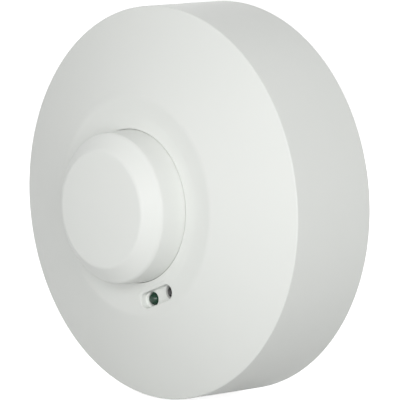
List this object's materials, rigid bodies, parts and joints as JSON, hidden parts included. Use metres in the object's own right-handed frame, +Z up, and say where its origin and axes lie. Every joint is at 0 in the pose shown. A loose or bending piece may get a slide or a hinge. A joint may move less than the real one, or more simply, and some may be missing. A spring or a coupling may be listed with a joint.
{
  "type": "motion sensor",
  "caption": "Round surface-mounted microwave motion sensor: drum cover with conical front, pull-off radome cap, lamp and light-cell window, boards, terminals and relay on a wall base.",
  "frame": {"origin": "centre of the base plate's flat back face, where the sensor lies against the wall or ceiling", "axes": "-Y out of the wall along the sensor's axis, +Z up the wall, +X to the right when the sensor is seen from the front"},
  "size_m": [0.1, 0.0445, 0.1],
  "materials": {
    "white_abs": "satin moulded ABS, faintly cool white",
    "black_rubber": "matt black rubber",
    "green_board": "green solder mask on glass-epoxy board",
    "zinc_plated_steel": "zinc plated, clean",
    "nickel_brass": "brass, some of it nickel plated",
    "enamelled_copper": "enamelled copper winding",
    "grey_polyamide": "grey polyamide",
    "black_plastic": "black moulded plastic",
    "relay_blue": "blue relay case",
    "capacitor_yellow": "yellow capacitor case",
    "capacitor_sleeve": "dark shrink sleeve",
    "varistor_blue": "blue epoxy coating",
    "fuse_brown": "dark brown moulded fuse body",
    "dial_cream": "cream polyamide dial",
    "lamp_green": "tinted clear green lens",
    "light_cell": "black tinted resin of the light cell"
  },
  "bodies": {
    "base": {"base_plate": "white_abs", "cable_grommet": "black_rubber", "power_board": "green_board", "control_board": "green_board", "antenna_board": "green_board", "terminal_block": "grey_polyamide", "relay_case": "relay_blue", "relay_base": "black_plastic", "relay_coil": "enamelled_copper", "relay_yoke": "zinc_plated_steel", "relay_contact": "nickel_brass", "suppression_capacitor": "capacitor_yellow", "smoothing_capacitor": "capacitor_sleeve", "reservoir_capacitor": "capacitor_sleeve", "varistor": "varistor_blue", "fuse": "fuse_brown", "inductor": "enamelled_copper", "bridge_rectifier": "black_plastic", "power_chip": "black_plastic", "board_link_header": "black_plastic", "microcontroller": "black_plastic", "oscillator_can": "zinc_plated_steel", "antenna_plate": "nickel_brass", "antenna_post_left": "black_plastic", "antenna_post_right": "black_plastic", "lamp_spacer": "black_plastic", "cell_spacer": "black_plastic", "indicator_lamp": "lamp_green", "light_cell": "light_cell", "power_board_screw_1": "zinc_plated_steel", "control_board_screw_1": "zinc_plated_steel", "power_board_screw_2": "zinc_plated_steel", "control_board_screw_2": "zinc_plated_steel", "power_board_screw_3": "zinc_plated_steel", "control_board_screw_3": "zinc_plated_steel", "sensitivity_trimmer": "black_plastic", "time_trimmer": "black_plastic", "light_level_trimmer": "black_plastic"},
    "cover": {"front_housing": "white_abs"},
    "cap": {"radome_cap": "white_abs"},
    "relay_armature": {"relay_armature": "zinc_plated_steel"},
    "cover_screw_1": {"cover_screw_1": "zinc_plated_steel"},
    "terminal_screw_1": {"terminal_screw_1": "zinc_plated_steel"},
    "terminal_clamp_1": {"terminal_clamp_1": "nickel_brass"},
    "cover_screw_2": {"cover_screw_2": "zinc_plated_steel"},
    "terminal_screw_2": {"terminal_screw_2": "zinc_plated_steel"},
    "terminal_clamp_2": {"terminal_clamp_2": "nickel_brass"},
    "cover_screw_3": {"cover_screw_3": "zinc_plated_steel"},
    "terminal_screw_3": {"terminal_screw_3": "zinc_plated_steel"},
    "terminal_clamp_3": {"terminal_clamp_3": "nickel_brass"},
    "sensitivity_dial": {"sensitivity_dial": "dial_cream"},
    "time_dial": {"time_dial": "dial_cream"},
    "light_level_dial": {"light_level_dial": "dial_cream"}
  },
  "joints": [
    {"name": "cover_pull", "type": "slide", "parent": "base", "child": "cover", "axis": [0, -1, 0], "range_m": [0, 0.04]},
    {"name": "cap_pull", "type": "slide", "parent": "cover", "child": "cap", "axis": [0, -1, 0], "range_m": [0, 0.018]},
    {"name": "cover_screw_1_out", "type": "slide", "parent": "cover", "child": "cover_screw_1", "axis": [0, -1, 0], "range_m": [0, 0.008]},
    {"name": "cover_screw_2_out", "type": "slide", "parent": "cover", "child": "cover_screw_2", "axis": [0, -1, 0], "range_m": [0, 0.008]},
    {"name": "cover_screw_3_out", "type": "slide", "parent": "cover", "child": "cover_screw_3", "axis": [0, -1, 0], "range_m": [0, 0.008]},
    {"name": "sensitivity_dial_turn", "type": "hinge", "parent": "base", "child": "sensitivity_dial", "pos_m": [0, -0.029, 0.0125], "axis": [0, -1, 0], "range_deg": [-135, 135]},
    {"name": "time_dial_turn", "type": "hinge", "parent": "base", "child": "time_dial", "pos_m": [-0.01083, -0.029, -0.00625], "axis": [0, -1, 0], "range_deg": [-135, 135]},
    {"name": "light_level_dial_turn", "type": "hinge", "parent": "base", "child": "light_level_dial", "pos_m": [0.01083, -0.029, -0.00625], "axis": [0, -1, 0], "range_deg": [-135, 135]},
    {"name": "terminal_screw_1_turn", "type": "hinge", "parent": "base", "child": "terminal_screw_1", "pos_m": [-0.0344, -0.018, 0.0135], "axis": [0, -1, 0], "range_deg": [-1080, 0]},
    {"name": "terminal_screw_2_turn", "type": "hinge", "parent": "base", "child": "terminal_screw_2", "pos_m": [-0.029, -0.018, 0.0135], "axis": [0, -1, 0], "range_deg": [-1080, 0]},
    {"name": "terminal_screw_3_turn", "type": "hinge", "parent": "base", "child": "terminal_screw_3", "pos_m": [-0.0236, -0.018, 0.0135], "axis": [0, -1, 0], "range_deg": [-1080, 0]},
    {"name": "terminal_clamp_1_rise", "type": "slide", "parent": "base", "child": "terminal_clamp_1", "axis": [0, -1, 0], "range_m": [0, 0.0013]},
    {"name": "terminal_clamp_2_rise", "type": "slide", "parent": "base", "child": "terminal_clamp_2", "axis": [0, -1, 0], "range_m": [0, 0.0013]},
    {"name": "terminal_clamp_3_rise", "type": "slide", "parent": "base", "child": "terminal_clamp_3", "axis": [0, -1, 0], "range_m": [0, 0.0013]},
    {"name": "relay_armature_tilt", "type": "hinge", "parent": "base", "child": "relay_armature", "pos_m": [-0.03, -0.0225, -0.0044], "axis": [1, 0, 0], "range_deg": [0, 4], "stiffness_Nm_per_rad": 0.0005}
  ],
  "couplings": [
    {"joint": "terminal_screw_1_turn", "follows": "terminal_clamp_1_rise", "rad_per_m": -12566},
    {"joint": "terminal_screw_2_turn", "follows": "terminal_clamp_2_rise", "rad_per_m": -12566},
    {"joint": "terminal_screw_3_turn", "follows": "terminal_clamp_3_rise", "rad_per_m": -12566}
  ]
}
